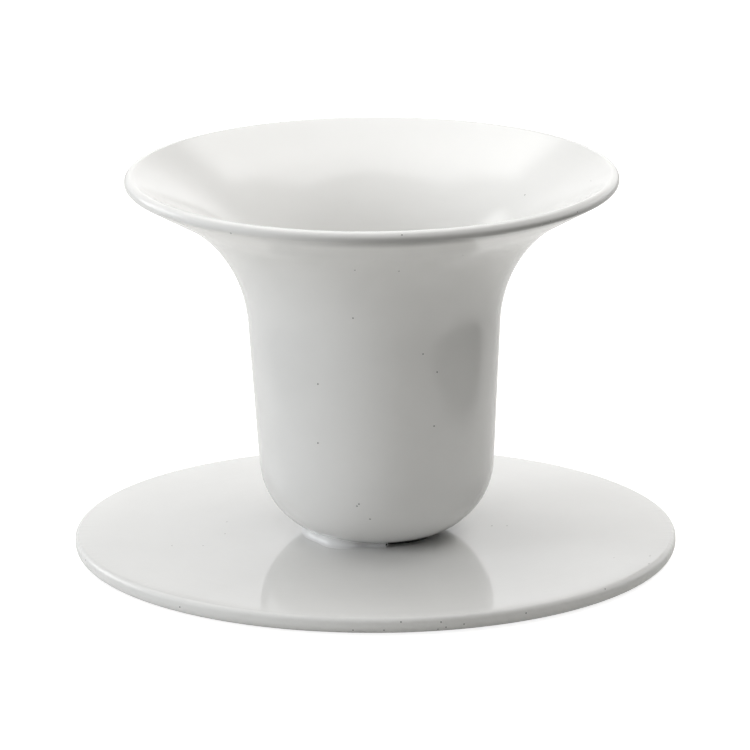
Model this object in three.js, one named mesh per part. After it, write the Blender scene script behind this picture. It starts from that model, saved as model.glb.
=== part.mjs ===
import * as THREE from 'three';

// A candlestick in lacquered cast metal: a bell-shaped cup for a pillar candle on a thin round base.
// One countersunk screw, hidden by a felt pad, draws the cup down on the base from below.
// Millimetres and degrees, +Z up, with the origin on the axis where the felt meets the table.

// Base
const BASE_DIAMETER = 120;
const BASE_THICKNESS = 3.4;
const BASE_TOP_ROUND = 1;
const BASE_BOTTOM_ROUND = 1.8;

// Cup, with heights from its foot and angles from the vertical
const CANDLE_DIAMETER = 40;
const CANDLE_CLEARANCE = 0.4;
const CUP_HEIGHT = 74.05;
const WALL_THICKNESS = 2.6;
const WALL_TAPER = 3.3;
const FLOOR_THICKNESS = 7.5;
const FOOT_ROUND = 15.5;
const FLARE_ROUND = 28;
const RIM_DIAMETER = 98;
const LIP_ANGLE = 60.5;

// Screw, and the blind hole that it bites into
const SCREW_DIAMETER = 4;
const SCREW_HEAD_DIAMETER = 7.5;
const SCREW_HEAD_EDGE = 0.2;
const SCREW_HEAD_ANGLE = 90;
const SCREW_TIP_CHAMFER = 0.5;
const SCREW_TIP_ROOM = 0.8;
const SCREW_HOLE_COVER = 1.5;

// Felt pad, let into the base and standing a little proud of it
const FELT_THICKNESS = 0.8;
const FELT_PROUD = 0.4;
const FELT_MARGIN = 9;

// Clearances
const THREAD_CLEARANCE = 0.15;
const HEAD_CLEARANCE = 0.2;
const FELT_CLEARANCE = 0.5;
const GLUE_FILM = 0.1;

// Fineness of the turned surfaces
const CASTING_SEGMENTS = 64;
const SCREW_SEGMENTS = 24;
const ARC_DEVIATION = 0.05;

const LACQUER = { color: 0xe8e7e3, roughness: 0.15, metalness: 0 };
const STEEL = { color: 0x9a9c9e, roughness: 0.35, metalness: 1 };
const FELT = { color: 0x55534f, roughness: 1, metalness: 0 };

// Heights above the table
const baseUnderside = FELT_PROUD;
const baseTop = baseUnderside + BASE_THICKNESS;
const recessRoof = FELT_THICKNESS + GLUE_FILM;

// A corner of a turned profile: its distance from the axis, its height, and the arc that rounds it.
function corner(radius, height, round = 0) {
  return { at: new THREE.Vector2(radius, height), round };
}

// The angle from one direction to the next, positive to the left.
function turnBetween(from, to) {
  return Math.atan2(from.cross(to), from.dot(to));
}

// Joins corners into a profile, each rounded by an arc that touches both of its sides.
// Where two arcs want more than the side between them has, both get less.
function profile(corners) {
  const sides = corners.slice(1).map(({ at }, i) => at.clone().sub(corners[i].at));
  const turns = corners.map((_, i) => (sides[i - 1] && sides[i] ? turnBetween(sides[i - 1], sides[i]) : 0));
  const reaches = corners.map(({ round }, i) => round * Math.tan(Math.abs(turns[i]) / 2));
  const shares = sides.map((side, i) => Math.min(1, side.length() / (reaches[i] + reaches[i + 1])));
  return corners.flatMap(({ at, round }, i) => {
    if (reaches[i] === 0) {
      return [at];
    }
    const share = Math.min(shares[i - 1], shares[i]);
    const radius = round * share;
    const direction = sides[i - 1].clone().normalize();
    const start = at.clone().addScaledVector(direction, -reaches[i] * share);
    const left = new THREE.Vector2(-direction.y, direction.x);
    const centre = start.clone().addScaledVector(left, Math.sign(turns[i]) * radius);
    const steps = Math.ceil(Math.abs(turns[i]) / (2 * Math.acos(1 - ARC_DEVIATION / radius)));
    const angles = Array.from({ length: steps + 1 }, (_, k) => (turns[i] * k) / steps);
    return angles.map((angle) => start.clone().rotateAround(centre, angle));
  });
}

// Ends a profile that comes down to the axis at a flat floor instead.
function endAtFloor(points, height) {
  const floorStart = points.length - points.toReversed().findIndex(({ y }) => y > height);
  const above = points[floorStart - 1];
  const below = points[floorStart];
  const edge = above.clone().lerp(below, (above.y - height) / (above.y - below.y));
  return [...points.slice(0, floorStart), edge, new THREE.Vector2(0, height)];
}

// Turns a profile about the vertical axis and stands it at a height.
function turned(name, points, segments, height, finish) {
  const geometry = new THREE.LatheGeometry(points, segments).rotateX(Math.PI / 2);
  const mesh = new THREE.Mesh(geometry, new THREE.MeshStandardMaterial(finish));
  mesh.name = name;
  mesh.position.z = height;
  return mesh;
}

// The cup's wall leans out by its taper from the socket, which takes the candle at the floor.
const taper = THREE.MathUtils.degToRad(WALL_TAPER);
function wallRadius(height, thickness) {
  const socketRadius = CANDLE_DIAMETER / 2 + CANDLE_CLEARANCE;
  return socketRadius + (height - FLOOR_THICKNESS) * Math.tan(taper) + thickness / Math.cos(taper);
}

// Where one side of the lip, run down from its edge, meets the wall on the same side.
function throat(lipEdge, alongLip, thickness) {
  const overhang = lipEdge.x - wallRadius(lipEdge.y, thickness);
  const run = overhang / (alongLip.x - alongLip.y * Math.tan(taper));
  return lipEdge.clone().addScaledVector(alongLip, -run);
}

const screwHoleRadius = SCREW_DIAMETER / 2 + THREAD_CLEARANCE;
const screwHoleTop = FLOOR_THICKNESS - SCREW_HOLE_COVER;

// The lip ends in a half round across the wall that just reaches the rim's width and the cup's height.
function bellCup() {
  const lip = THREE.MathUtils.degToRad(LIP_ANGLE);
  const alongLip = new THREE.Vector2(Math.sin(lip), Math.cos(lip));
  const acrossLip = new THREE.Vector2(Math.cos(lip), -Math.sin(lip));
  const lipRound = WALL_THICKNESS / 2;
  const lipCentre = new THREE.Vector2(RIM_DIAMETER / 2 - lipRound, CUP_HEIGHT - lipRound);
  const lipEnd = lipCentre.addScaledVector(alongLip, lipRound);
  const lipOutside = lipEnd.clone().addScaledVector(acrossLip, lipRound);
  const lipInside = lipEnd.clone().addScaledVector(acrossLip, -lipRound);
  const throatOutside = throat(lipOutside, alongLip, WALL_THICKNESS);
  const throatInside = throat(lipInside, alongLip, 0);
  const points = profile([
    corner(0, screwHoleTop),
    corner(screwHoleRadius, screwHoleTop),
    corner(screwHoleRadius, 0),
    corner(wallRadius(0, WALL_THICKNESS), 0, FOOT_ROUND),
    corner(throatOutside.x, throatOutside.y, FLARE_ROUND),
    corner(lipOutside.x, lipOutside.y, lipRound),
    corner(lipInside.x, lipInside.y, lipRound),
    corner(throatInside.x, throatInside.y, FLARE_ROUND + WALL_THICKNESS),
    corner(wallRadius(WALL_THICKNESS, 0), WALL_THICKNESS, FOOT_ROUND - WALL_THICKNESS),
    corner(0, WALL_THICKNESS),
  ]);
  return turned('bell_cup', endAtFloor(points, FLOOR_THICKNESS), CASTING_SEGMENTS, baseTop, LACQUER);
}

// The screw's cone, from its head's edge to its shank.
const headRadius = SCREW_HEAD_DIAMETER / 2;
const shankRadius = SCREW_DIAMETER / 2;
const coneSlope = Math.tan(THREE.MathUtils.degToRad(SCREW_HEAD_ANGLE / 2));
const coneHeight = (headRadius - shankRadius) / coneSlope;

function baseScrew() {
  const tip = baseTop + screwHoleTop - SCREW_TIP_ROOM - recessRoof;
  const points = profile([
    corner(0, 0),
    corner(headRadius, 0),
    corner(headRadius, SCREW_HEAD_EDGE),
    corner(shankRadius, SCREW_HEAD_EDGE + coneHeight),
    corner(shankRadius, tip - SCREW_TIP_CHAMFER),
    corner(shankRadius - SCREW_TIP_CHAMFER, tip),
    corner(0, tip),
  ]);
  return turned('base_screw', points, SCREW_SEGMENTS, recessRoof, STEEL);
}

const feltRadius = BASE_DIAMETER / 2 - FELT_MARGIN;

// The base's countersink follows the screw's cone at the head's clearance, all the way to its hole.
function baseDisc() {
  const recessRadius = feltRadius + FELT_CLEARANCE;
  const recessDepth = recessRoof - baseUnderside;
  const sinkRadius = headRadius + HEAD_CLEARANCE;
  const sinkEdge = recessDepth + SCREW_HEAD_EDGE;
  const sinkTop = sinkEdge + (sinkRadius - screwHoleRadius) / coneSlope;
  const rim = BASE_DIAMETER / 2;
  const points = profile([
    corner(screwHoleRadius, BASE_THICKNESS),
    corner(screwHoleRadius, sinkTop),
    corner(sinkRadius, sinkEdge),
    corner(sinkRadius, recessDepth),
    corner(recessRadius, recessDepth),
    corner(recessRadius, 0),
    corner(rim, 0, BASE_BOTTOM_ROUND),
    corner(rim, BASE_THICKNESS, BASE_TOP_ROUND),
    corner(screwHoleRadius, BASE_THICKNESS),
  ]);
  return turned('base_disc', points, CASTING_SEGMENTS, baseUnderside, LACQUER);
}

function feltPad() {
  const points = profile([
    corner(0, 0),
    corner(feltRadius, 0),
    corner(feltRadius, FELT_THICKNESS),
    corner(0, FELT_THICKNESS),
  ]);
  return turned('felt_pad', points, CASTING_SEGMENTS, 0, FELT);
}

const candlestick = new THREE.Group();
candlestick.add(bellCup(), baseDisc(), baseScrew(), feltPad());

export default candlestick;
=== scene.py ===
# %% [markdown]
# # A white lacquered candlestick
# Two castings make this candlestick: a bell-shaped cup and a thin round base, both covered with glossy
# white lacquer. A screw from below holds them together, and a felt pad hides it. The imported model gives
# every piece its place and size, so it is loaded first.

# %% Load the imported model
import math

import bmesh
import bpy
from mathutils import Matrix, Quaternion, Vector, noise
from mathutils.bvhtree import BVHTree


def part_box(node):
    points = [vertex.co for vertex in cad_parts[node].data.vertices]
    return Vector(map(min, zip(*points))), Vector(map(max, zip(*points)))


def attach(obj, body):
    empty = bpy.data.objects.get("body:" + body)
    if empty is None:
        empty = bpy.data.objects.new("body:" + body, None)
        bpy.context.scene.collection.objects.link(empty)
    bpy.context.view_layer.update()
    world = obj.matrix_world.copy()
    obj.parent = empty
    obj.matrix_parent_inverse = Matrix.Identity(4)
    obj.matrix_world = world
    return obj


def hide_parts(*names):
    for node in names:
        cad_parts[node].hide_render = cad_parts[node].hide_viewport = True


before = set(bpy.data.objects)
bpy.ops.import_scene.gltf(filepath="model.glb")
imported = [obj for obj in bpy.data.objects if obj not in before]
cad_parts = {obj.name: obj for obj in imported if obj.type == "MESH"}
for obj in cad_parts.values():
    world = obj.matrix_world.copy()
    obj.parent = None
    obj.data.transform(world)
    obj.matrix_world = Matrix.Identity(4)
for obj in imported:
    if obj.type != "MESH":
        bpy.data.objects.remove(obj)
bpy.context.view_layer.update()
MM = 0.001
print("nodes:", sorted(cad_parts))

# %% [markdown]
# ## The camera
# The photograph was taken from well back with a long lens, so the round rim and base look like almost
# perfect ellipses. How flat the base's ellipse is gives the camera's height: a little over 15 degrees.
# The lens follows from the distance and from how many pixels the base is wide.

# %% Place the camera
CAMERA_ELEVATION = math.radians(15.46)
CAMERA_DISTANCE = 1.647
CAMERA_ROLL = math.radians(-0.17)
CUP_MIDDLE = Vector((0, 0, 0.0384))
PICTURE_CENTRE = Vector((0, 0, 0.0359))
PICTURE_WIDTH = 750
PIXELS_PER_METRE = 5031
SENSOR_WIDTH = 36


def add_object(name, data):
    """A new object in the scene."""
    thing = bpy.data.objects.new(name, data)
    bpy.context.scene.collection.objects.link(thing)
    return thing


camera = add_object("camera", bpy.data.cameras.new("camera"))
backwards = Vector((0, -math.cos(CAMERA_ELEVATION), math.sin(CAMERA_ELEVATION)))
camera.location = CUP_MIDDLE + CAMERA_DISTANCE * backwards
aim = (PICTURE_CENTRE - camera.location).to_track_quat("-Z", "Y")
camera.rotation_euler = (aim @ Quaternion((0, 0, 1), CAMERA_ROLL)).to_euler()
camera.data.sensor_width = SENSOR_WIDTH
camera.data.lens = PIXELS_PER_METRE * CAMERA_DISTANCE * SENSOR_WIDTH / PICTURE_WIDTH
camera.data.clip_start = 0.05
camera.data.clip_end = 50
bpy.context.scene.camera = camera
print(f"camera at {[round(c, 3) for c in camera.location]} with a {camera.data.lens:.0f} mm lens")

# %% [markdown]
# ## Node helpers
# Finishes and shapes are both made by node trees. Small helpers keep them readable. They add a node, set its
# inputs, each to a plain value or a wire from another node, and give its result. Others do sums, stretch a
# range, mix two values, scale a vector or raise a relief.

# %% Define helpers for any node tree


def set_inputs(tree, node, inputs):
    """Sets a node's inputs, by name or number, each to a value or to the output wired to it."""
    for key, value in inputs.items():
        if isinstance(value, bpy.types.NodeSocket):
            tree.links.new(value, node.inputs[key])
        else:
            node.inputs[key].default_value = value


def add_node(tree, kind, inputs=None, **settings):
    """Adds a node with its settings and its inputs."""
    node = tree.nodes.new(kind)
    for setting, value in settings.items():
        setattr(node, setting, value)
    set_inputs(tree, node, inputs or {})
    return node


def result(tree, kind, inputs=None, **settings):
    """Adds a node and gives its first output."""
    return add_node(tree, kind, inputs, **settings).outputs[0]


def calculate(tree, operation, *values):
    """The output of a math node that works on plain values or other nodes' outputs."""
    return result(tree, "ShaderNodeMath", dict(enumerate(values)), operation=operation)


def total(tree, first, *others):
    """The sum of any number of plain values and outputs."""
    for other in others:
        first = calculate(tree, "ADD", first, other)
    return first


def product(tree, first, *others):
    """Their product."""
    for other in others:
        first = calculate(tree, "MULTIPLY", first, other)
    return first


def vector_sum(tree, operation, *values):
    """The output of a math node that works on vectors."""
    return result(tree, "ShaderNodeVectorMath", dict(enumerate(values)), operation=operation)


def remap(tree, value, low, high, to_low=0.0, to_high=1.0, smooth=False):
    """Stretches low..high to to_low..to_high and holds the ends."""
    kind = "SMOOTHSTEP" if smooth else "LINEAR"
    inputs = {"Value": value, "From Min": low, "From Max": high, "To Min": to_low, "To Max": to_high}
    return add_node(tree, "ShaderNodeMapRange", inputs, interpolation_type=kind).outputs["Result"]


def mix(tree, share, first, second):
    """A number between two numbers: the first at share 0, the second at share 1."""
    return result(tree, "ShaderNodeMix", {0: share, 2: first, 3: second})


def mix_colours(tree, share, first, second):
    """The same for colours, given as red, green and blue."""
    first, second = [(*c, 1) if isinstance(c, tuple) else c for c in (first, second)]
    inputs = {0: share, 6: first, 7: second}
    return add_node(tree, "ShaderNodeMix", inputs, data_type="RGBA").outputs[2]


def scaled(tree, vector, factor):
    """A vector times a number."""
    return result(tree, "ShaderNodeVectorMath", {0: vector, "Scale": factor}, operation="SCALE")


def bump(tree, height, strength, distance):
    """The facing of a surface with a relief."""
    inputs = {"Height": height, "Strength": strength, "Distance": distance}
    return result(tree, "ShaderNodeBump", inputs)


def axis_distance(tree, place):
    """How far a place is from the upright axis."""
    flat = vector_sum(tree, "MULTIPLY", place, (1, 1, 0))
    return add_node(tree, "ShaderNodeVectorMath", {0: flat}, operation="LENGTH").outputs["Value"]


print("node helpers ready")

# %% [markdown]
# ## The surround
# Glossy white is mostly a picture of the room around it. This room is white along the horizon, less so at
# the left, and grey higher up. A broad bright panel reaches from overhead well down the back, and a small
# one stands low at the left, where it lights up the lip, the seam and the base's edge. Lamps could show in
# the gloss instead, but their edges would be sharp, so the sky itself gets these soft shades, for
# reflections only. The camera sees plain white, and the light that the sky sheds on the object is even and
# much weaker. Each soft edge is a range of the direction's X, Y or Z, or of how nearly it points at the
# small panel.

# %% Shade the surround
SKY_LIGHT = 0.04
RIGHT_WHITE = 1.25
LEFT_WHITE = 0.8
UPPER_GREY = 0.42
PANEL_GLOW = 1.5
LEFT_PANEL = Vector((-0.87, 0.45, 0.2))
LEFT_PANEL_GLOW = 2.2
LEFT_TO_RIGHT = (-0.3, 0)
WHITE_TO_GREY = (0.3, 0.5)
PANEL_FOOT = (0.58, 0.68)
PANEL_FRONT = (-0.08, 0.04)
PANEL_SIDE = (0.55, 0.42)
LEFT_PANEL_EDGE = (0.93, 0.97)

world = bpy.data.worlds.new("surround")
bpy.context.scene.world = world
world.use_nodes = True
tree = world.node_tree
tree.nodes.clear()
path = add_node(tree, "ShaderNodeLightPath").outputs
direction = add_node(tree, "ShaderNodeTexCoord").outputs["Generated"]
axes = add_node(tree, "ShaderNodeSeparateXYZ", {0: direction}).outputs
horizon = remap(tree, axes["X"], *LEFT_TO_RIGHT, LEFT_WHITE, RIGHT_WHITE)
horizon = remap(tree, axes["Z"], *WHITE_TO_GREY, horizon, UPPER_GREY)
foot = remap(tree, axes["Z"], *PANEL_FOOT)
front = remap(tree, axes["Y"], *PANEL_FRONT)
side = remap(tree, calculate(tree, "ABSOLUTE", axes["X"]), *PANEL_SIDE)
panel = product(tree, foot, front, side, PANEL_GLOW)
to_left = add_node(tree, "ShaderNodeVectorMath", {0: direction, 1: LEFT_PANEL}, operation="DOT_PRODUCT")
left_panel = remap(tree, to_left.outputs["Value"], *LEFT_PANEL_EDGE, 0, LEFT_PANEL_GLOW)
mirrored = total(tree, horizon, panel, left_panel)
mirrors = calculate(tree, "MAXIMUM", path["Is Glossy Ray"], path["Is Transmission Ray"])
shed = mix(tree, mirrors, SKY_LIGHT, mirrored)
strength = mix(tree, path["Is Camera Ray"], shed, 1.0)
background = result(tree, "ShaderNodeBackground", {"Color": (1, 1, 1, 1), "Strength": strength})
add_node(tree, "ShaderNodeOutputWorld", {"Surface": background})
print("surround with", len(tree.nodes), "nodes")

# %% [markdown]
# ## The floor
# The floor is pale, and a little light of its own, which only the camera and reflections see, brings it up
# to white while a faint shadow stays. The wall of the cup mirrors the floor beside the base, and the flare's
# shadow is painted onto the floor there as two soft patches, a strong one at the right and a weaker one at
# the left, which only reflections see.

# %% Lay the floor
FLOOR_SIZE = 12
FLOOR_COLOUR = (0.62, 0.615, 0.6)
FLOOR_WHITENING = 0.85
MIRRORED_WHITENING = 0.31
PATCH_MIDDLE = Vector((0.16, -0.04))
PATCH_REACH = Vector((0.066, 0.105, 1))
PATCH_EDGE = (0.75, 1.05)
RIGHT_DARKNESS = 1
LEFT_DARKNESS = 0.3


def new_finish(name):
    """A new material, with its node tree, its shader and the object's own coordinates."""
    material = bpy.data.materials.new(name)
    material.use_nodes = True
    tree = material.node_tree
    place = add_node(tree, "ShaderNodeTexCoord").outputs["Object"]
    return material, tree, tree.nodes["Principled BSDF"], place


def painted_shadow_patch(tree, place, side, darkness):
    """A soft oval of painted shadow on the floor, dark in its middle, at the right for side 1 or the left
    for side -1.
    """
    offset = vector_sum(tree, "SUBTRACT", place, (side * PATCH_MIDDLE.x, PATCH_MIDDLE.y, 0))
    reach = axis_distance(tree, vector_sum(tree, "DIVIDE", offset, PATCH_REACH))
    return remap(tree, reach, *PATCH_EDGE, darkness, 0, smooth=True)


def new_mesh(name, points, edges=(), faces=()):
    """A mesh made of points, and of edges and faces that name them by number."""
    mesh = bpy.data.meshes.new(name)
    mesh.from_pydata(points, edges, faces)
    return mesh


floor_paint, tree, shader, place = new_finish("pale_floor")
path = add_node(tree, "ShaderNodeLightPath").outputs
# Painted shadow: in two soft patches the floor turns black, and only reflections see it.
right_patch = painted_shadow_patch(tree, place, 1, RIGHT_DARKNESS)
painted_shadow = total(tree, right_patch, painted_shadow_patch(tree, place, -1, LEFT_DARKNESS))
mirrors = calculate(tree, "MAXIMUM", path["Is Glossy Ray"], path["Is Transmission Ray"])
painted_shadow = product(tree, painted_shadow, mirrors)
colour = mix_colours(tree, painted_shadow, FLOOR_COLOUR, (0, 0, 0))
mirrored = product(tree, mirrors, MIRRORED_WHITENING)
mirrored = mix(tree, painted_shadow, mirrored, 0.0)
glow = mix(tree, path["Is Camera Ray"], mirrored, FLOOR_WHITENING)
set_inputs(tree, shader, {"Base Color": colour, "Roughness": 0.9, "Specular IOR Level": 0})
set_inputs(tree, shader, {"Emission Color": (1, 1, 1, 1), "Emission Strength": glow})

half = FLOOR_SIZE / 2
corners = [(-half, -half, 0), (half, -half, 0), (half, half, 0), (-half, half, 0)]
floor_mesh = new_mesh("floor", corners, faces=[(0, 1, 2, 3)])
floor_mesh.materials.append(floor_paint)
floor = add_object("floor", floor_mesh)
print("floor", FLOOR_SIZE, "m wide")

# %% [markdown]
# ## The lamps
# A soft lamp low at the left, a little in front, makes the left of the cup the lighter side and lets the
# right fall into shade, which is what shows that the cup is round. Two broad lamps high up behind, and
# weaker ones in front and overhead, fill the bell and light the base. They light the object without showing
# in its gloss, because the surround does that more softly.

# %% Hang the lamps


def hang_lamp(name, around, elevation, size, watts, colour):
    """Hangs a round lamp a metre from the cup, at degrees from the front to the left and degrees up."""
    around, elevation = math.radians(around), math.radians(elevation)
    light = bpy.data.lights.new(name, "AREA")
    light.shape = "DISK"
    light.size = size
    light.energy = watts
    light.color = colour
    lamp = add_object(name, light)
    level = math.cos(elevation)
    towards = Vector((-math.sin(around) * level, -math.cos(around) * level, math.sin(elevation)))
    lamp.location = CUP_MIDDLE + towards
    lamp.rotation_euler = towards.to_track_quat("Z", "Y").to_euler()
    lamp.visible_glossy = False


COOL = (0.94, 0.97, 1)
WARM = (1, 0.995, 0.975)
hang_lamp("left_lamp", 75, 12, 0.5, 4.15, COOL)
hang_lamp("back_left_lamp", 120, 60, 0.8, 3.55, WARM)
hang_lamp("back_right_lamp", 235, 60, 0.8, 4.15, WARM)
hang_lamp("front_lamp", -10, 50, 0.8, 1.7, WARM)
hang_lamp("top_lamp", 0, 86, 0.8, 2.0, WARM)

# %% [markdown]
# ## The lacquer
# Gloss lacquer is a clear, hard film, so most of its look is what it reflects. Close to, it isn't perfect.
# The white is warmer in places, the film has a faint orange-peel ripple, and the rings that the lathe left
# in the metal show through it. The base's edge was left as it came from the sand, so its grain shows. Under
# the rim a grey band is painted in as shade, deepest at the right. The bead's thick lacquer is painted
# whiter, as a painted highlight. On the base, in the crevice under the cup's foot, the colour goes dark:
# bare metal where no spray reaches, and painted crevice shade with it, reaching further at the right.

# %% Find where shade is painted under the lip, and the bare, shaded crevice
NOISE_SPAN = (0.3, 0.7)
WALL = 2.6 * MM
LIP_ANGLE = math.radians(60.5)
# Where and how strongly shade is painted in grey under the lip.
LIP_SHADE_MOST = 0.78
LIP_SHADE_ACROSS = (-3.2 * MM, 0.8 * MM)
LIP_SHADE_BELOW = 1 * MM
LIP_SHADE_TO_RIGHT = (-30 * MM, 10 * MM)
# The dark ring on top of the base: bare metal in the crevice with painted crevice shade, shifted to the
# right where shade falls.
BARE_AND_SHADE_RADIUS = 10.3 * MM
BARE_AND_SHADE_SHIFT = 1.8 * MM
BARE_AND_SHADE_EDGE = (-0.3 * MM, 0.1 * MM)
TATTERS = 0.3 * MM
TATTER_SPACING = 1.5 * MM
TOP_DEPTH = 0.5 * MM
cup_low, cup_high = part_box("bell_cup")
base_low, base_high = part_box("base_disc")


def patches(tree, place, spacing, detail=2.0):
    """Noise in patches about spacing wide, mostly within NOISE_SPAN."""
    inputs = {"Vector": place, "Scale": 1 / spacing, "Detail": detail}
    return result(tree, "ShaderNodeTexNoise", inputs)


def full_patches(tree, place, spacing, detail=2.0, low=0.0, high=1.0):
    """The same noise, stretched to fill low..high."""
    return remap(tree, patches(tree, place, spacing, detail), *NOISE_SPAN, low, high)


def painted_lip_shade(tree, axes, radius, lip):
    """How much shade is painted under the edge of a lip: only there, and most at the right."""
    outer = remap(tree, radius, *(lip.x + end for end in LIP_SHADE_ACROSS), smooth=True)
    inside = product(tree, axes["Z"], math.sin(LIP_ANGLE))
    across = calculate(tree, "SUBTRACT", product(tree, radius, math.cos(LIP_ANGLE)), inside)
    middle = lip.x * math.cos(LIP_ANGLE) - lip.y * math.sin(LIP_ANGLE)
    below = remap(tree, across, middle, middle + LIP_SHADE_BELOW, smooth=True)
    share = remap(tree, axes["X"], *LIP_SHADE_TO_RIGHT, 0, LIP_SHADE_MOST, smooth=True)
    return product(tree, outer, below, share)


def bare_metal_and_crevice_shade(tree, place, height, bare_and_shade_radius):
    """1 on top of the base out to a ragged radius round the foot, where bare metal and painted crevice shade
    darken it, and 0 elsewhere.
    """
    from_foot = axis_distance(tree, vector_sum(tree, "SUBTRACT", place, (BARE_AND_SHADE_SHIFT, 0, 0)))
    tatters = full_patches(tree, place, TATTER_SPACING, low=-TATTERS, high=TATTERS)
    ragged = total(tree, from_foot, tatters)
    bare_and_shade = remap(tree, ragged, *(bare_and_shade_radius + end for end in BARE_AND_SHADE_EDGE), 1, 0)
    on_top = calculate(tree, "GREATER_THAN", height, base_high.z - TOP_DEPTH)
    return product(tree, bare_and_shade, on_top)


# The printed lip angle is that of the painted shade under the lip, and the radius is that of the bare metal
# with its painted crevice shade.
print(f"bare out to {BARE_AND_SHADE_RADIUS / MM:.1f} mm, thin under a lip at {math.degrees(LIP_ANGLE):.1f} degrees")

# %% [markdown]
# One function mixes the lacquer for the cup, the base and the bead, which differ in what they leave out. A
# radius or a lip as far off as FAR, which is beyond every piece, leaves that feature out.

# %% Mix the white lacquer
FILM_WHITES = [(0.885, 0.882, 0.871), (0.855, 0.853, 0.842)]
# The bead's whiter whites are a painted highlight.
BEAD_HIGHLIGHT_WHITES = [(0.95, 0.95, 0.945), (0.93, 0.93, 0.925)]
# The grey of the shade painted under the rim.
LIP_SHADE_GREY = (0.32, 0.32, 0.315)
# Near-black of bare metal and of the crevice shade painted with it.
BARE_METAL_AND_SHADE_DARK = (0.015, 0.015, 0.014)
CLOUD_SPACING = 22 * MM
CUP_BLUR = 0.09
BASE_BLUR = 0.06
BARE_BLUR = 0.7
GRAIN_BLUR = 0.12
SMEARS = (0.7, 1.3)
SMEAR_SPACING = 8 * MM
GRAIN_WIDTH = 1.2 * MM
GRAIN_RAMP = 0.6 * MM
RING_SPACING = 1.6 * MM
RING_SHARE = 0.8
RIPPLE_SPACING = 2.4 * MM
RIPPLE_SHARE = 0.6
SAND_SPACING = 0.5 * MM
SAND_SHARE = 2
RELIEF_STRENGTH = 0.4
RELIEF_DEPTH = 0.03 * MM
FAR = 1.0
NO_LIP = Vector((FAR, 0))


def white_lacquer(name, whites, gloss_blur, bare_and_shade_radius=-FAR, lip=NO_LIP, grain_start=FAR):
    """White gloss lacquer: bare and with painted crevice shade on top of the base, with painted shade under
    a lip, and grainy from a radius.
    """
    material, tree, shader, place = new_finish(name)
    axes = add_node(tree, "ShaderNodeSeparateXYZ", {0: place}).outputs
    radius = axis_distance(tree, place)

    white = mix_colours(tree, full_patches(tree, place, CLOUD_SPACING, 3), *whites)
    # Painted shade: the white greys under the lip, most at the right.
    white = mix_colours(tree, painted_lip_shade(tree, axes, radius, lip), white, LIP_SHADE_GREY)
    bare_and_shade = bare_metal_and_crevice_shade(tree, place, axes["Z"], bare_and_shade_radius)
    # Bare metal and painted crevice shade darken the top of the base round the foot.
    colour = mix_colours(tree, bare_and_shade, white, BARE_METAL_AND_SHADE_DARK)

    grainy = remap(tree, radius, grain_start, grain_start + GRAIN_RAMP)
    blurs = [share * gloss_blur for share in SMEARS]
    rough = full_patches(tree, place, SMEAR_SPACING, 4, *blurs)
    rough = total(tree, rough, product(tree, grainy, GRAIN_BLUR))
    rough = mix(tree, bare_and_shade, rough, BARE_BLUR)

    turning = result(tree, "ShaderNodeCombineXYZ", {"X": radius, "Y": axes["Z"]})
    rings = product(tree, patches(tree, turning, RING_SPACING, 3), RING_SHARE)
    ripple = product(tree, patches(tree, place, RIPPLE_SPACING), RIPPLE_SHARE)
    sand = product(tree, patches(tree, place, SAND_SPACING, 3), grainy, SAND_SHARE)
    relief = total(tree, rings, ripple, sand)
    facing = bump(tree, relief, RELIEF_STRENGTH, RELIEF_DEPTH)
    set_inputs(tree, shader, {"Base Color": colour, "Roughness": rough, "IOR": 1.5, "Normal": facing})
    return material


lip_middle = Vector((cup_high.x - WALL / 2, cup_high.z - WALL / 2))
grain_start = base_high.x - GRAIN_WIDTH
cup_lacquer = white_lacquer("cup_lacquer", FILM_WHITES, CUP_BLUR, lip=lip_middle)
base_lacquer = white_lacquer("base_lacquer", FILM_WHITES, BASE_BLUR, BARE_AND_SHADE_RADIUS, grain_start=grain_start)
bead_lacquer = white_lacquer("bead_lacquer", BEAD_HIGHLIGHT_WHITES, BASE_BLUR, BARE_AND_SHADE_RADIUS)
print("mixed", cup_lacquer.name, base_lacquer.name, "and", bead_lacquer.name)

# %% [markdown]
# ## Turning an outline
# Every piece here is round, so each is one outline turned about the axis. An outline is a short list of
# corners, each rounded by an arc that touches both of its sides, so a long curve needs only one number.

# %% Draw rounded outlines
FEWEST_STEPS = 8


def corner_arc(before, here, after, rounding, spacing):
    """The points of an arc that rounds a corner and touches both of its sides."""
    into = (here - before).normalized()
    out = (after - here).normalized()
    turn = math.atan2(into.x * out.y - into.y * out.x, into.dot(out))
    start = here - into * rounding * math.tan(abs(turn) / 2)
    centre = start + Vector((-into.y, into.x)) * math.copysign(rounding, turn)
    steps = max(FEWEST_STEPS, math.ceil(rounding * abs(turn) / spacing))
    return [centre + Matrix.Rotation(turn * k / steps, 2) @ (start - centre) for k in range(steps + 1)]


def rounded_outline(corners, spacing):
    """Points along an outline. A corner is (radius, height, rounding, spacing of the points after it),
    and leaves out what is the usual: no rounding, or the spacing of the whole outline."""
    usual = (0, spacing)
    corners = [(*corner, *usual[len(corner) - 2 :]) for corner in corners]
    places = [Vector(corner[:2]) for corner in corners]
    points = []
    for i, (_, _, rounding, after) in enumerate(corners):
        arc = [places[i]]
        if rounding:
            arc = corner_arc(*places[i - 1 : i + 2], rounding, after)
        if points:
            steps = max(1, round((arc[0] - points[-1]).length / corners[i - 1][3]))
            points += [points[-1].lerp(arc[0], k / steps) for k in range(1, steps)]
        points += arc
    return points


one_corner = rounded_outline([(1, 0), (2, 0, 0.2), (2, 1)], 1)
print("one rounded corner has", len(one_corner), "points")

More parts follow.
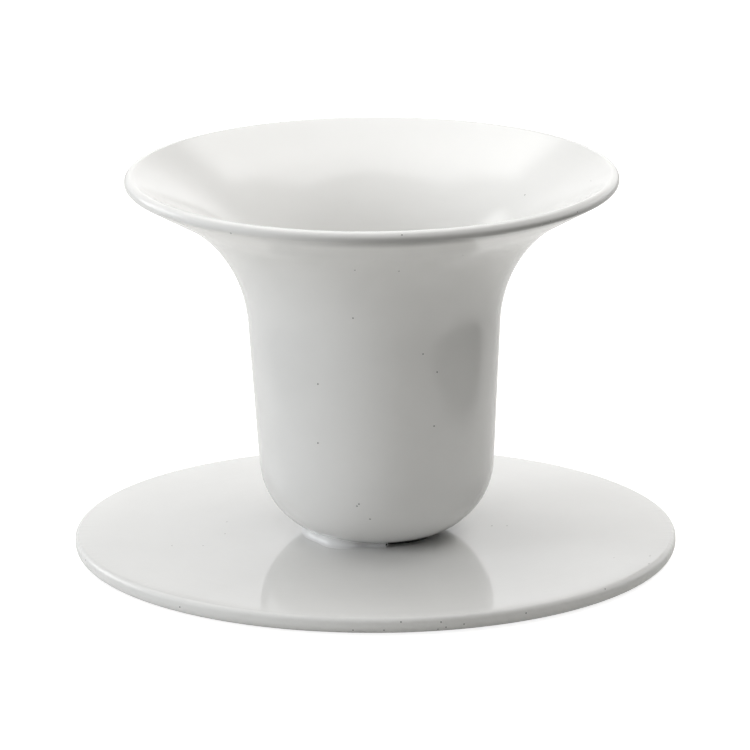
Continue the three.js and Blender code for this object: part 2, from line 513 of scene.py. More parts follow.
# %% [markdown]
# A Geometry Nodes tree then does what a lathe does. It lays out a grid with a row for each point of the
# outline and wraps it round the axis. Last it lets the surface sink a little here and there, and pits it
# from a radius outwards, because a sand casting is never quite even. A tree with named inputs is used
# because the same lathe makes the cup, the base, the screw and the felt.

# %% Build the lathe
NUMBER_KINDS = {int: "Int", float: "Float"}
SHARP_BEND = math.radians(40)
WELD_DISTANCE = 1e-6
PIT_SPAN = (0.45, 0.8)


def new_tree(name, inputs):
    """A geometry tree, its named inputs, each given as a number or as a kind of socket, and the position."""
    tree = bpy.data.node_groups.new(name, "GeometryNodeTree")
    for label, given in inputs.items():
        kind = NUMBER_KINDS.get(type(given), given)
        socket = tree.interface.new_socket(label, in_out="INPUT", socket_type="NodeSocket" + kind)
        if given != kind:
            socket.default_value = given
    tree.interface.new_socket("Piece", in_out="OUTPUT", socket_type="NodeSocketGeometry")
    position = result(tree, "GeometryNodeInputPosition")
    return tree, add_node(tree, "NodeGroupInput").outputs, position


def finish_tree(tree, geometry, finish):
    """Ends a tree with real geometry in its finish."""
    real = result(tree, "GeometryNodeRealizeInstances", {"Geometry": geometry})
    coated = result(tree, "GeometryNodeSetMaterial", {"Geometry": real, "Material": finish})
    add_node(tree, "NodeGroupOutput", {"Piece": coated})
    return tree


def shade_smooth(tree, geometry):
    """Shades a surface smooth, except over edges that bend sharply."""
    bend = add_node(tree, "GeometryNodeInputMeshEdgeAngle").outputs["Unsigned Angle"]
    gentle = calculate(tree, "LESS_THAN", bend, SHARP_BEND)
    faces = result(tree, "GeometryNodeSetShadeSmooth", {"Geometry": geometry})
    edges = {"Geometry": faces, "Shade Smooth": gentle}
    return result(tree, "GeometryNodeSetShadeSmooth", edges, domain="EDGE")


def lathe_tree():
    """Turns an outline about the axis, then lets the surface sink and pits it."""
    inputs = {"Outline": "Geometry", "Finish": "Material", "Segments": 64, "Seed": 0.0}
    inputs |= {"Swell Depth": 0.0, "Swell Spacing": 20 * MM}
    inputs |= {"Grain Depth": 0.0, "Grain Spacing": 1 * MM, "Grain Start": FAR}
    tree, given, position = new_tree("lathe", inputs)

    size = add_node(tree, "GeometryNodeAttributeDomainSize", {"Geometry": given["Outline"]})
    columns = total(tree, given["Segments"], 1)
    counts = {"Vertices X": size.outputs["Point Count"], "Vertices Y": columns}
    grid = add_node(tree, "GeometryNodeMeshGrid", counts).outputs["Mesh"]
    index = result(tree, "GeometryNodeInputIndex")
    row = calculate(tree, "FLOOR", calculate(tree, "DIVIDE", index, columns))
    column = calculate(tree, "SUBTRACT", index, product(tree, row, columns))
    angle = calculate(tree, "DIVIDE", product(tree, column, -math.tau), given["Segments"])
    sample = {"Geometry": given["Outline"], "Value": position, "Index": row}
    drawn = result(tree, "GeometryNodeSampleIndex", sample, data_type="FLOAT_VECTOR")
    outline = add_node(tree, "ShaderNodeSeparateXYZ", {0: drawn}).outputs
    x = product(tree, outline["X"], calculate(tree, "COSINE", angle))
    y = product(tree, outline["X"], calculate(tree, "SINE", angle))
    wrapped = result(tree, "ShaderNodeCombineXYZ", {"X": x, "Y": y, "Z": outline["Z"]})
    turned = result(tree, "GeometryNodeSetPosition", {"Geometry": grid, "Position": wrapped})
    weld = {"Geometry": turned, "Distance": WELD_DISTANCE}
    closed = result(tree, "GeometryNodeMergeByDistance", weld)

    def unevenness(spacing, detail):
        scale = calculate(tree, "DIVIDE", 1, given[spacing])
        inputs = {"Vector": position, "W": given["Seed"], "Scale": scale, "Detail": detail}
        return result(tree, "ShaderNodeTexNoise", inputs, noise_dimensions="4D")

    swell = product(tree, unevenness("Swell Spacing", 1), given["Swell Depth"])
    grain_full = total(tree, given["Grain Start"], GRAIN_RAMP)
    grainy = remap(tree, axis_distance(tree, position), given["Grain Start"], grain_full)
    pits = remap(tree, unevenness("Grain Spacing", 2), *PIT_SPAN, smooth=True)
    grain = product(tree, pits, grainy, given["Grain Depth"])
    depth = product(tree, total(tree, swell, grain), -1)
    normal = result(tree, "GeometryNodeInputNormal")
    sunk = {"Geometry": closed, "Offset": scaled(tree, normal, depth)}
    uneven = result(tree, "GeometryNodeSetPosition", sunk)
    return finish_tree(tree, shade_smooth(tree, uneven), given["Finish"])


LATHE = lathe_tree()
print("lathe tree with", len(LATHE.nodes), "nodes")

# %% Run a tree and keep its mesh


def modified_mesh(thing):
    """A plain mesh of what an object's modifiers make."""
    evaluated = thing.evaluated_get(bpy.context.evaluated_depsgraph_get())
    return bpy.data.meshes.new_from_object(evaluated)


def run_tree(name, mesh, tree, settings):
    """Runs a tree on a mesh with its inputs set by name, and returns the result as a plain mesh object."""
    maker = add_object(name + "_maker", mesh)
    modifier = maker.modifiers.new("tree", "NODES")
    modifier.node_group = tree
    for socket in tree.interface.items_tree:
        if socket.name in settings:
            modifier[socket.identifier] = settings[socket.name]
    piece = add_object(name, modified_mesh(maker))
    maker.modifiers.remove(modifier)
    bpy.data.objects.remove(maker)
    print(f"{name}: {len(piece.data.polygons)} faces")
    return piece


def turn_piece(name, points, settings):
    """Turns an outline on the lathe."""
    links = [(i, i + 1) for i in range(len(points) - 1)]
    outline = new_mesh(name + "_outline", [(p.x, 0, p.y) for p in points], links)
    return run_tree(name, outline, LATHE, settings)


print("lathe ready")

# %% [markdown]
# ## The cup
# The cup is cast with a wall of even thickness. Its foot rounds up into a wall that leans out only a
# little, and the wall then flares through one long curve into a straight lip that ends in a half round.
# Heights start at the foot, and the rim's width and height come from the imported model.

# %% Draw the cup
WALL_TAPER = math.radians(3.3)
SOCKET_RADIUS = 20.4 * MM
SOCKET_FLOOR = 7.5 * MM
FOOT_ROUND = 15.5 * MM
FLARE_ROUND = 28 * MM
SCREW_HOLE_RADIUS = 2.15 * MM
SCREW_HOLE_TOP = 6 * MM
WALL_SPACING = 1.2 * MM
LIP_SPACING = 0.2 * MM


def wall_radius(height, thickness):
    """How far the wall is from the axis at a height: its inside, or thickness further out."""
    return SOCKET_RADIUS + (height - SOCKET_FLOOR) * math.tan(WALL_TAPER) + thickness / math.cos(WALL_TAPER)


def throat(lip_edge, thickness):
    """Where the lip's line, run down from its edge, meets the wall."""
    overhang = lip_edge.x - wall_radius(lip_edge.y, thickness)
    run = overhang / (math.sin(LIP_ANGLE) - math.cos(LIP_ANGLE) * math.tan(WALL_TAPER))
    return lip_edge - run * along_lip


def level_floor(points, height):
    """Ends an outline that comes down to the axis at a flat floor instead."""
    last = max(i for i, point in enumerate(points) if point.y > height)
    above, below = points[last : last + 2]
    edge = above.lerp(below, (above.y - height) / (above.y - below.y))
    steps = round(edge.x / WALL_SPACING)
    return points[: last + 1] + [edge.lerp(Vector((0, height)), k / steps) for k in range(steps + 1)]


along_lip = Vector((math.sin(LIP_ANGLE), math.cos(LIP_ANGLE)))
across_lip = Vector((math.cos(LIP_ANGLE), -math.sin(LIP_ANGLE)))
cup_height = cup_high.z - cup_low.z
lip_round = WALL / 2
lip_end = Vector((cup_high.x - lip_round, cup_height - lip_round)) + lip_round * along_lip
lip_outside = lip_end + lip_round * across_lip
lip_inside = lip_end - lip_round * across_lip
cup_corners = [
    (0, SCREW_HOLE_TOP),
    (SCREW_HOLE_RADIUS, SCREW_HOLE_TOP),
    (SCREW_HOLE_RADIUS, 0),
    (wall_radius(0, WALL), 0, FOOT_ROUND),
    (*throat(lip_outside, WALL), FLARE_ROUND),
    (*lip_outside, lip_round, LIP_SPACING),
    (*lip_inside, lip_round),
    (*throat(lip_inside, 0), FLARE_ROUND + WALL),
    (wall_radius(WALL, 0), WALL, FOOT_ROUND - WALL),
    (0, WALL),
]
cup_outline = level_floor(rounded_outline(cup_corners, WALL_SPACING), SOCKET_FLOOR)
print("the cup's outline has", len(cup_outline), "points")

# %% [markdown]
# The cup doesn't stand quite straight: it sits a little to the right and leans to the left by almost a
# degree, and its rim is a hair higher at the right and in front, as a hand-fitted casting's may be. That is
# a shear, so one matrix does it all. It also lowers the rim by so much that its high side keeps under the
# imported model's top.

# %% Turn the cup and set it on the base
CUP_SHIFT = 0.5 * MM
CUP_LEAN = math.tan(math.radians(0.8))
RIM_TIP = Vector((math.tan(math.radians(0.22)), -math.tan(math.radians(0.48))))
SWELL = 0.1 * MM
cup_settings = {"Segments": 400, "Swell Depth": SWELL, "Swell Spacing": 22 * MM, "Seed": 3.0}
cup = turn_piece("cup", cup_outline, cup_settings | {"Finish": cup_lacquer})
foot_flat = wall_radius(0, WALL) - FOOT_ROUND * math.tan((math.pi / 2 - WALL_TAPER) / 2)
foot_lift = foot_flat * RIM_TIP.length
squeeze = 1 - (cup_high.x * RIM_TIP.length + foot_lift) / cup_height
shear = Matrix.Identity(4)
shear[0] = (1, 0, -CUP_LEAN, CUP_SHIFT)
shear[2] = (*RIM_TIP, squeeze, cup_low.z + foot_lift)
cup.data.transform(shear)
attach(cup, "root")
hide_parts("bell_cup")
print("the rim's high side is at", round(max(v.co.z for v in cup.data.vertices) / MM, 2), "mm")

# %% [markdown]
# ## The base
# The base is a thin disc with its lower edge rounded more than its upper one. Underneath it has a shallow
# recess for the felt and a countersunk hole for the screw. Its edge was never ground smooth, so the lathe
# tree pits it there.

# %% Turn the base
BASE_TOP_ROUND = 1 * MM
BASE_BOTTOM_ROUND = 1.8 * MM
RECESS_DEPTH = 0.5 * MM
RECESS_RADIUS = 51.5 * MM
SINK_RADIUS = 3.95 * MM
SINK_EDGE = 0.7 * MM
SINK_TOP = 2.5 * MM
FACE_SPACING = 2.4 * MM
EDGE_SPACING = 0.2 * MM
base_thickness = base_high.z - base_low.z
base_corners = [
    (SCREW_HOLE_RADIUS, base_thickness),
    (SCREW_HOLE_RADIUS, SINK_TOP),
    (SINK_RADIUS, SINK_EDGE),
    (SINK_RADIUS, RECESS_DEPTH, 0, 3 * FACE_SPACING),
    (RECESS_RADIUS, RECESS_DEPTH),
    (RECESS_RADIUS, 0),
    (base_high.x, 0, BASE_BOTTOM_ROUND, EDGE_SPACING),
    (base_high.x, base_thickness, BASE_TOP_ROUND),
    (SCREW_HOLE_RADIUS, base_thickness),
]
base_settings = {"Segments": 1000, "Swell Depth": 0.06 * MM, "Swell Spacing": 25 * MM, "Seed": 8.0}
base_settings |= {"Grain Depth": 0.08 * MM, "Grain Spacing": 1.1 * MM, "Grain Start": grain_start}
base_outline = rounded_outline(base_corners, FACE_SPACING)
base = turn_piece("base", base_outline, base_settings | {"Finish": base_lacquer})
base.data.transform(Matrix.Translation((0, 0, base_low.z)))
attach(base, "root")
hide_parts("base_disc")

# %% [markdown]
# ## The bead of lacquer
# At the left of the foot the lacquer ran into the seam and dried as a hollow bead. At the right, where the
# leaning cup stands a hair off the base, the seam stayed open. The bead is what a ball would leave if it
# rolled along the seam and touched both castings, so its outline follows from the ball's size, and the
# ball is large at the left and tiny at the right. A formula for each step round the seam is all it needs.

# %% Run the bead round the foot
BEAD_LARGEST = 0.93 * MM
BEAD_MIDDLE = 0.34 * MM
BEAD_SMALLEST = 0.08 * MM
BEAD_SIDE = math.radians(205)
LARGE_FADE = (33, 57)
MIDDLE_FADE = (72, 76)
BEAD_WAVER = 0.2
BEAD_DEPTH = 0.7
BEAD_STEPS = 360
COVE_STEPS = 12
BEAD_OVERLAP = 0.06 * MM


def fade(value, low, high):
    """1 up to low, 0 from high, and a smooth step between them."""
    share = min(max((high - value) / (high - low), 0), 1)
    return share * share * (3 - 2 * share)


def ball_size(angle):
    """The radius of the ball at an angle round the foot."""
    away = math.degrees(abs((angle - BEAD_SIDE + math.pi) % math.tau - math.pi))
    size = BEAD_SMALLEST + (BEAD_MIDDLE - BEAD_SMALLEST) * fade(away, *MIDDLE_FADE)
    size += (BEAD_LARGEST - BEAD_MIDDLE) * fade(away, *LARGE_FADE)
    return size * (1 + BEAD_WAVER * noise.noise(Vector((3 * math.cos(angle), 3 * math.sin(angle), 0))))


def foot_gap(angle):
    """How far the tipped cup's foot stands off the base at an angle."""
    around = Vector((math.cos(angle), math.sin(angle)))
    return foot_lift + SWELL / 2 + RIM_TIP.dot(around) * BARE_AND_SHADE_RADIUS


def bead_outline(size, gap):
    """The bead's outline: a hollow arc from the base up to the cup, then back along the cup."""
    ball = size + gap / 2
    reach = math.sqrt((2 * FOOT_ROUND + gap) * 2 * size)
    top = math.atan2(FOOT_ROUND + gap - ball, reach)
    turns = [-math.pi / 2 + (top + math.pi / 2) * k / COVE_STEPS for k in range(COVE_STEPS + 1)]
    cove = [(foot_flat + reach - ball * math.cos(turn), ball * (1 + math.sin(turn))) for turn in turns]
    back = foot_flat + BEAD_DEPTH * reach
    roof = gap + FOOT_ROUND - math.sqrt(FOOT_ROUND**2 - (back - foot_flat) ** 2)
    inner = cove[-1][0] - BEAD_OVERLAP
    return [*cove, (inner, cove[-1][1] + BEAD_OVERLAP), (back, roof + BEAD_OVERLAP), (back, 0)]


points = []
for step in range(BEAD_STEPS):
    angle = math.tau * step / BEAD_STEPS
    for radius, height in bead_outline(ball_size(angle), foot_gap(angle)):
        x = radius * math.cos(angle) + CUP_SHIFT
        points.append((x, radius * math.sin(angle), base_high.z + height - BEAD_OVERLAP))
count = len(points) // BEAD_STEPS
faces = []
for step in range(BEAD_STEPS):
    here, there = step * count, (step + 1) % BEAD_STEPS * count
    faces += [(here + k, there + k, there + (k + 1) % count, here + (k + 1) % count) for k in range(count)]
bead_mesh = new_mesh("lacquer_bead", points, faces=faces)
bead_mesh.materials.append(bead_lacquer)
bead_mesh.shade_smooth()
bead_mesh.set_sharp_from_angle(angle=SHARP_BEND)
bead = add_object("lacquer_bead", bead_mesh)
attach(bead, "root")
print(f"bead: {len(faces)} faces, ball up to {ball_size(BEAD_SIDE) / MM:.2f} mm")

# %% [markdown]
# ## The screw
# A countersunk machine screw goes up through the base into the cup's thick floor. It is steel with bright
# zinc plating, and the fine rings that turning leaves show in it. It is turned like the castings. Its
# thread is a groove that climbs round the shank by one pitch a turn, so a second tree finds how many turns
# each point is up the helix and draws it in there. The cross in the head is cut last.

# %% Coat the screw with zinc
ZINC_GREYS = [(0.58, 0.60, 0.62), (0.70, 0.70, 0.68)]
ZINC_BLURS = (0.22, 0.42)
ZINC_RINGS = {"Scale": 1900, "Distortion": 0.4, "Detail": 1}
SPANGLE_SPACING = 0.6 * MM
SMUDGE_SPACING = 1.4 * MM

zinc, tree, shader, place = new_finish("zinc_plate")
spangle = full_patches(tree, place, SPANGLE_SPACING, 4)
grey = mix_colours(tree, spangle, *ZINC_GREYS)
rough = full_patches(tree, place, SMUDGE_SPACING, 3, *ZINC_BLURS)
rings = {"Vector": place, **ZINC_RINGS}
turning = add_node(tree, "ShaderNodeTexWave", rings, wave_type="RINGS", rings_direction="Z").outputs[1]
facing = bump(tree, turning, 0.2, 0.01 * MM)
set_inputs(tree, shader, {"Base Color": grey, "Metallic": 1, "Roughness": rough, "Normal": facing})
print("mixed", zinc.name)

# %% Build the thread tree


def thread_tree():
    """Draws a blank in along a helix."""
    inputs = {"Blank": "Geometry", "Finish": "Material"}
    inputs |= {"Pitch": 0.7 * MM, "Depth Share": 0.2, "Start Height": 0.0}
    tree, given, position = new_tree("thread", inputs)
    axes = add_node(tree, "ShaderNodeSeparateXYZ", {0: position}).outputs
    around = calculate(tree, "DIVIDE", calculate(tree, "ARCTAN2", axes["Y"], axes["X"]), math.tau)
    turns = calculate(tree, "SUBTRACT", calculate(tree, "DIVIDE", axes["Z"], given["Pitch"]), around)
    groove = product(tree, calculate(tree, "PINGPONG", turns, 0.5), -2)
    full = total(tree, given["Start Height"], given["Pitch"])
    begun = remap(tree, axes["Z"], given["Start Height"], full)
    depth = product(tree, groove, begun, given["Depth Share"])
    outward = vector_sum(tree, "MULTIPLY", position, (1, 1, 0))
    moved = {"Geometry": given["Blank"], "Offset": scaled(tree, outward, depth)}
    cut = result(tree, "GeometryNodeSetPosition", moved)
    return finish_tree(tree, shade_smooth(tree, cut), given["Finish"])


THREAD = thread_tree()
print("thread tree with", len(THREAD.nodes), "nodes")

# %% Turn the screw and cut its thread
HEAD_EDGE = 0.2 * MM
SHANK_RADIUS = 2 * MM
TIP_CHAMFER = 0.5 * MM
SHANK_SPACING = 0.09 * MM
END_SPACING = 0.5 * MM
THREAD_DEPTH_SHARE = 0.21
THREAD_RUNOUT = 0.3 * MM
screw_low, screw_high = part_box("base_screw")
head_radius = screw_high.x
screw_length = screw_high.z - screw_low.z
shank_start = HEAD_EDGE + head_radius - SHANK_RADIUS
screw_corners = [
    (0, 0),
    (head_radius, 0, 0, HEAD_EDGE),
    (head_radius, HEAD_EDGE),
    (SHANK_RADIUS, shank_start, 0, SHANK_SPACING),
    (SHANK_RADIUS, screw_length - TIP_CHAMFER, 0, SHANK_SPACING),
    (SHANK_RADIUS - TIP_CHAMFER, screw_length),
    (0, screw_length),
]
screw_outline = rounded_outline(screw_corners, END_SPACING)
blank = turn_piece("screw_blank", screw_outline, {"Segments": 64, "Finish": zinc})
thread_start = shank_start + THREAD_RUNOUT
thread_settings = {"Depth Share": THREAD_DEPTH_SHARE, "Start Height": thread_start, "Finish": zinc}
screw = run_tree("screw", blank.data, THREAD, thread_settings)
bpy.data.objects.remove(blank)

# %% Cut the cross into the screw's head
CROSS_REACH = 1.9 * MM
CROSS_HALF_WIDTH = 0.42 * MM
CROSS_DEPTH = 1.5 * MM
CROSS_TAPER = 0.4
CUTTER_START = -0.1 * MM
arm = [Vector((CROSS_REACH, -CROSS_HALF_WIDTH)), Vector((CROSS_REACH, CROSS_HALF_WIDTH))]
arm += [Vector((CROSS_HALF_WIDTH, CROSS_HALF_WIDTH))]
plan = [Matrix.Rotation(math.pi / 2 * quarter, 2) @ point for quarter in range(4) for point in arm]
mouth = [(p.x, p.y, CUTTER_START) for p in plan]
bottom = [(CROSS_TAPER * p.x, CROSS_TAPER * p.y, CROSS_DEPTH) for p in plan]
count = len(plan)
sides = [(k, (k + 1) % count, (k + 1) % count + count, k + count) for k in range(count)]
ends = [tuple(reversed(range(count))), tuple(range(count, 2 * count))]
cutter = add_object("cross_cutter", new_mesh("cross_cutter", mouth + bottom, faces=sides + ends))
recess = screw.modifiers.new("cross", "BOOLEAN")
recess.object = cutter
recess.operation = "DIFFERENCE"
screw_mesh = modified_mesh(screw)
screw.modifiers.remove(recess)
screw.data = screw_mesh
bpy.data.objects.remove(cutter)
screw_mesh.set_sharp_from_angle(angle=SHARP_BEND)
screw_mesh.transform(Matrix.Translation((0, 0, screw_low.z)))
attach(screw, "root")
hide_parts("base_screw")
print("screw:", len(screw_mesh.polygons), "faces after the cross is cut")

# %% [markdown]
# ## The felt pad
# A disc of grey wool felt is glued into the recess, hides the screw and keeps the base from scratching a
# table. Felt is a tangle of light and dark fibres without gloss, so its surface is uneven and a fuzz of
# short hairs lies on it. The disc is turned like the rest. The hairs are one bent strand, which a tree lays
# down at thousands of places.

# %% Dye the felt
FELT_GREYS = [(0.055, 0.053, 0.05), (0.17, 0.165, 0.155)]
FELT_SPAN = (0.35, 0.65)
FELT_TANGLE = {"Scale": 2600, "Detail": 5, "Distortion": 2}
CLUMP_SPACING = 3 * MM
CLUMP_SHARE = 0.3

felt_wool, tree, shader, place = new_finish("grey_wool")
fibres = result(tree, "ShaderNodeTexNoise", {"Vector": place, **FELT_TANGLE})
shade = mix(tree, CLUMP_SHARE, fibres, patches(tree, place, CLUMP_SPACING, 3))
grey = mix_colours(tree, remap(tree, shade, *FELT_SPAN), *FELT_GREYS)
facing = bump(tree, fibres, 0.6, 0.1 * MM)
set_inputs(tree, shader, {"Base Color": grey, "Roughness": 1, "Normal": facing})
set_inputs(tree, shader, {"Specular IOR Level": 0.1, "Sheen Weight": 0.3})
print("mixed", felt_wool.name)

# %% Cut the felt disc
HAIR_ROOM = 0.08 * MM
FELT_EDGE_ROUND = 0.25 * MM
FELT_SPACING = 1.5 * MM
FELT_EDGE_SPACING = 0.15 * MM
_, felt_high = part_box("felt_pad")
felt_radius = felt_high.x - HAIR_ROOM
felt_top = felt_high.z - HAIR_ROOM
felt_corners = [
    (0, HAIR_ROOM),
    (felt_radius, HAIR_ROOM, FELT_EDGE_ROUND, FELT_EDGE_SPACING),
    (felt_radius, felt_top, FELT_EDGE_ROUND),
    (0, felt_top),
]
felt_settings = {"Segments": 360, "Swell Depth": 0.1 * MM, "Swell Spacing": 2.5 * MM, "Seed": 5.0}
felt_outline = rounded_outline(felt_corners, FELT_SPACING)
felt = turn_piece("felt", felt_outline, felt_settings | {"Finish": felt_wool})
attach(felt, "root")
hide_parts("felt_pad")

# %% Lay the hairs on the felt
LENGTH_SHARES = (0.4, 1.0)
STRAND = {"Start": (0, 0, 0), "Middle": (0.5, 0.25, 0.12), "End": (1, 0.1, -0.03), "Resolution": 3}


def random_number(tree, low, high, seed):
    """A random number between low and high, different for each point."""
    inputs = {2: low, 3: high, "Seed": seed}
    return add_node(tree, "FunctionNodeRandomValue", inputs, data_type="FLOAT").outputs[1]


def hair_tree():
    """Lays bent strands all over the flat part of the felt."""
    inputs = {"Felt": "Geometry", "Finish": "Material", "Felt Radius": FAR}
    inputs |= {"Hairs per Square Metre": 150000.0, "Seed": 4, "Length": 1 * MM, "Thickness": 0.03 * MM}
    tree, given, position = new_tree("hairs", inputs)
    from_axis = axis_distance(tree, position)
    flat_part = calculate(tree, "SUBTRACT", given["Felt Radius"], given["Length"])
    scatter = {"Mesh": given["Felt"], "Density": given["Hairs per Square Metre"], "Seed": given["Seed"]}
    scatter["Selection"] = calculate(tree, "LESS_THAN", from_axis, flat_part)
    roots = add_node(tree, "GeometryNodeDistributePointsOnFaces", scatter).outputs
    strand = result(tree, "GeometryNodeCurveQuadraticBezier", STRAND)
    half_width = product(tree, given["Thickness"], 0.5)
    relative = calculate(tree, "DIVIDE", half_width, given["Length"])
    sized = {"Resolution": 3, "Radius": relative}
    section = result(tree, "GeometryNodeCurvePrimitiveCircle", sized)
    hair = result(tree, "GeometryNodeCurveToMesh", {"Curve": strand, "Profile Curve": section})
    spun = random_number(tree, 0.0, math.tau, given["Seed"])
    about = result(tree, "ShaderNodeCombineXYZ", {"Z": spun})
    turn = result(tree, "FunctionNodeEulerToRotation", {0: about})
    turned = {0: roots["Rotation"], 1: turn}
    rotation = result(tree, "FunctionNodeRotateRotation", turned, rotation_space="LOCAL")
    lengths = product(tree, random_number(tree, *LENGTH_SHARES, given["Seed"]), given["Length"])
    laid = {"Points": roots["Points"], "Instance": hair, "Rotation": rotation, "Scale": lengths}
    hairs = result(tree, "GeometryNodeInstanceOnPoints", laid)
    return finish_tree(tree, hairs, given["Finish"])


hair_settings = {"Felt Radius": felt_radius, "Finish": felt_wool}
hairs = run_tree("felt_hairs", felt.data.copy(), hair_tree(), hair_settings)
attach(hairs, "root")

# %% [markdown]
# ## The pinholes
# Gas leaves tiny pits in a casting, which the lacquer bridges with a small collar round an eye. The pit's
# depth isn't built: the eye is a flat disc with the pit's shade painted on it in near-black. Those in the
# photograph are given by their pixels, and a ray from the camera finds the surface under each. The largest,
# at the end of the open seam, opens towards the camera. On the sides that the photograph doesn't show, a
# tree scatters more of them, and keeps only those that the camera couldn't see. A bump map couldn't place
# them one by one, so each is a small mesh, and its eye attribute tells collar from eye.

# %% Find the surface under each marked pixel
CUP_MARKS = [(231, 233), (402, 235), (463, 255), (355, 270), (399, 271), (353, 318), (423, 354), (437, 372)]
CUP_MARKS += [(318, 384), (434, 426), (318, 443), (359, 504), (357, 506), (370, 519)]
LIP_MARKS = [(525, 195), (567, 204), (591, 181), (590, 193), (577, 212), (550, 221), (542, 225)]
DISC_MARKS = [(227, 522), (172, 546), (203, 546), (225, 534), (492, 526), (507, 526)]
DISC_MARKS += [(614, 558), (650, 556), (649, 564)]
EDGE_MARKS = [(605, 589), (526, 613), (401, 622), (446, 627), (438, 629), (441, 622), (464, 624), (384, 630)]
EDGE_MARKS += [(353, 630), (180, 607), (86, 560)]
SEAM_MARK = (386, 544.5)
MARK_WIDTH = 0.36 * MM
SEAM_WIDTH = 0.75 * MM


def solid_tree(piece):
    """A search tree that rays can be cast into."""
    corners = [v.co for v in piece.data.vertices]
    return BVHTree.FromPolygons(corners, [p.vertices for p in piece.data.polygons])


def under_pixel(pixel, solids):
    """The place and facing of the nearest surface under a pixel of the photograph."""
    x = (pixel[0] / PICTURE_WIDTH - 0.5) * SENSOR_WIDTH
    y = (0.5 - pixel[1] / PICTURE_WIDTH) * SENSOR_WIDTH
    ray = camera.rotation_euler.to_matrix() @ Vector((x, y, -camera.data.lens))
    hits = [solid.ray_cast(camera.location, ray.normalized()) for solid in solids]
    place, facing, _, _ = min((hit for hit in hits if hit[0]), key=lambda hit: hit[3])
    return place, facing


solids = [solid_tree(piece) for piece in (cup, base, bead)]
marks = [(pixel, MARK_WIDTH) for pixel in CUP_MARKS + LIP_MARKS + DISC_MARKS + EDGE_MARKS]
marks += [(SEAM_MARK, SEAM_WIDTH)]
found = [under_pixel(pixel, solids) for pixel, _ in marks]
found[-1] = (found[-1][0], backwards)
marks_mesh = new_mesh("marks", [place for place, _ in found])
facings = marks_mesh.attributes.new("facing", "FLOAT_VECTOR", "POINT")
facings.data.foreach_set("vector", [c for _, facing in found for c in facing])
widths = marks_mesh.attributes.new("width", "FLOAT", "POINT")
widths.data.foreach_set("value", [width for _, width in marks])
marks_points = add_object("marks", marks_mesh)
print(len(marks), "marks, up to", round(max(place.z for place, _ in found) / MM, 1), "mm high")

# %% Paint the pits' shade into the pinholes
COLLAR_WHITES = [(0.86, 0.857, 0.846), (0.80, 0.797, 0.787)]
COLLAR_BLUR = 0.15
# The pit's shade, painted on the flat eye.
EYE_PAINTED_SHADE = (0.02, 0.019, 0.018)
EYE_BLUR = 0.8
COLLAR_SPACING = 5 * MM

pinhole_with_painted_shade, tree, shader, place = new_finish("pinhole")
eye = add_node(tree, "ShaderNodeAttribute", attribute_name="eye").outputs["Fac"]
white = mix_colours(tree, full_patches(tree, place, COLLAR_SPACING), *COLLAR_WHITES)
colour = mix_colours(tree, eye, white, EYE_PAINTED_SHADE)
rough = mix(tree, eye, COLLAR_BLUR, EYE_BLUR)
set_inputs(tree, shader, {"Base Color": colour, "Roughness": rough})
print("mixed", pinhole_with_painted_shade.name)

# %% Build the pinhole tree
WIDTH_SHARES = (0.5, 1.0)
RAY_START = 0.05 * MM
COLLAR = {"Vertices": 10, "Radius Top": 0.36, "Radius Bottom": 0.6, "Depth": 0.12}
EYE = {"Vertices": 10, "Radius": 0.37}
EYE_HEIGHT = 0.1


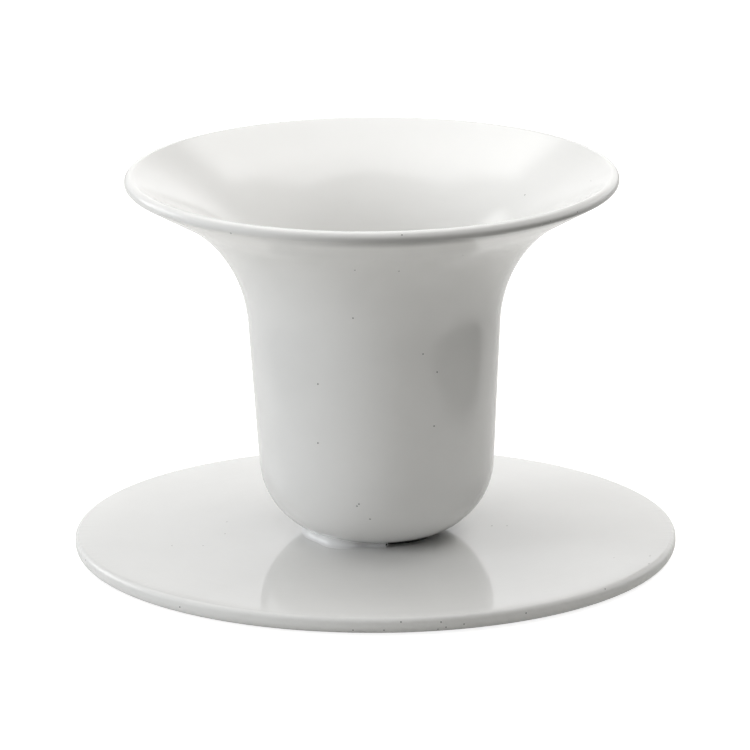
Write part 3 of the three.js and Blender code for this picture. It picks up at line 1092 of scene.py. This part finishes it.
def pinhole_tree():
    """Puts a pit at each mark, and at random on what the camera can't see."""
    inputs = {"Surface": "Geometry", "Marks": "Object", "Camera Place": "Vector", "Finish": "Material"}
    inputs |= {"Pinholes per Square Metre": 1800.0, "Seed": 11, "Widest": MARK_WIDTH}
    tree, given, position = new_tree("pinholes", inputs)

    def store(geometry, name, kind, value):
        inputs = {"Geometry": geometry, "Name": name, "Value": value}
        return result(tree, "GeometryNodeStoreNamedAttribute", inputs, data_type=kind)

    def named(name, kind):
        return result(tree, "GeometryNodeInputNamedAttribute", {"Name": name}, data_type=kind)

    spread = {"Mesh": given["Surface"], "Density": given["Pinholes per Square Metre"], "Seed": given["Seed"]}
    scattered = add_node(tree, "GeometryNodeDistributePointsOnFaces", spread).outputs
    faced = store(scattered["Points"], "facing", "FLOAT_VECTOR", scattered["Normal"])
    share = random_number(tree, *WIDTH_SHARES, given["Seed"])
    sized = store(faced, "width", "FLOAT", product(tree, share, given["Widest"]))

    facing = named("facing", "FLOAT_VECTOR")
    ray = {"Target Geometry": given["Surface"]}
    ray["Source Position"] = vector_sum(tree, "ADD", position, scaled(tree, facing, RAY_START))
    ray["Ray Direction"] = vector_sum(tree, "SUBTRACT", given["Camera Place"], position)
    hidden = add_node(tree, "GeometryNodeRaycast", ray).outputs["Is Hit"]
    sorted_out = {"Geometry": sized, "Selection": hidden}
    unseen = result(tree, "GeometryNodeSeparateGeometry", sorted_out)

    marked = add_node(tree, "GeometryNodeObjectInfo", {"Object": given["Marks"]}).outputs["Geometry"]
    marked = result(tree, "GeometryNodeMeshToPoints", {"Mesh": marked})
    every = add_node(tree, "GeometryNodeJoinGeometry")
    tree.links.new(unseen, every.inputs[0])
    tree.links.new(marked, every.inputs[0])

    collar = add_node(tree, "GeometryNodeMeshCone", COLLAR, fill_type="NONE").outputs["Mesh"]
    collar = store(collar, "eye", "FLOAT", 0.0)
    disc = result(tree, "GeometryNodeMeshCircle", EYE, fill_type="NGON")
    raised = {"Geometry": disc, "Translation": (0, 0, EYE_HEIGHT)}
    disc = result(tree, "GeometryNodeTransform", raised)
    pit = add_node(tree, "GeometryNodeJoinGeometry")
    tree.links.new(collar, pit.inputs[0])
    tree.links.new(store(disc, "eye", "FLOAT", 1.0), pit.inputs[0])

    rotation = result(tree, "FunctionNodeAlignRotationToVector", {"Vector": facing}, axis="Z")
    sown = {"Points": every.outputs[0], "Instance": pit.outputs[0], "Rotation": rotation}
    sown["Scale"] = named("width", "FLOAT")
    holes = result(tree, "GeometryNodeInstanceOnPoints", sown)
    return finish_tree(tree, holes, given["Finish"])


PINHOLES = pinhole_tree()
print("pinhole tree with", len(PINHOLES.nodes), "nodes")

# %% Sow the pinholes
castings = bmesh.new()
for piece in (cup, base):
    castings.from_mesh(piece.data)
castings_mesh = bpy.data.meshes.new("castings")
castings.to_mesh(castings_mesh)
castings.free()
pinhole_settings = {"Marks": marks_points, "Camera Place": camera.location, "Finish": pinhole_with_painted_shade}
pinholes = run_tree("pinholes", castings_mesh, PINHOLES, pinhole_settings)
bpy.data.objects.remove(marks_points)
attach(pinholes, "root")

# %% [markdown]
# ## The view transform
# The picture's colours are shown with the Standard view transform.

# %% Set the view transform
bpy.context.scene.view_settings.view_transform = "Standard"
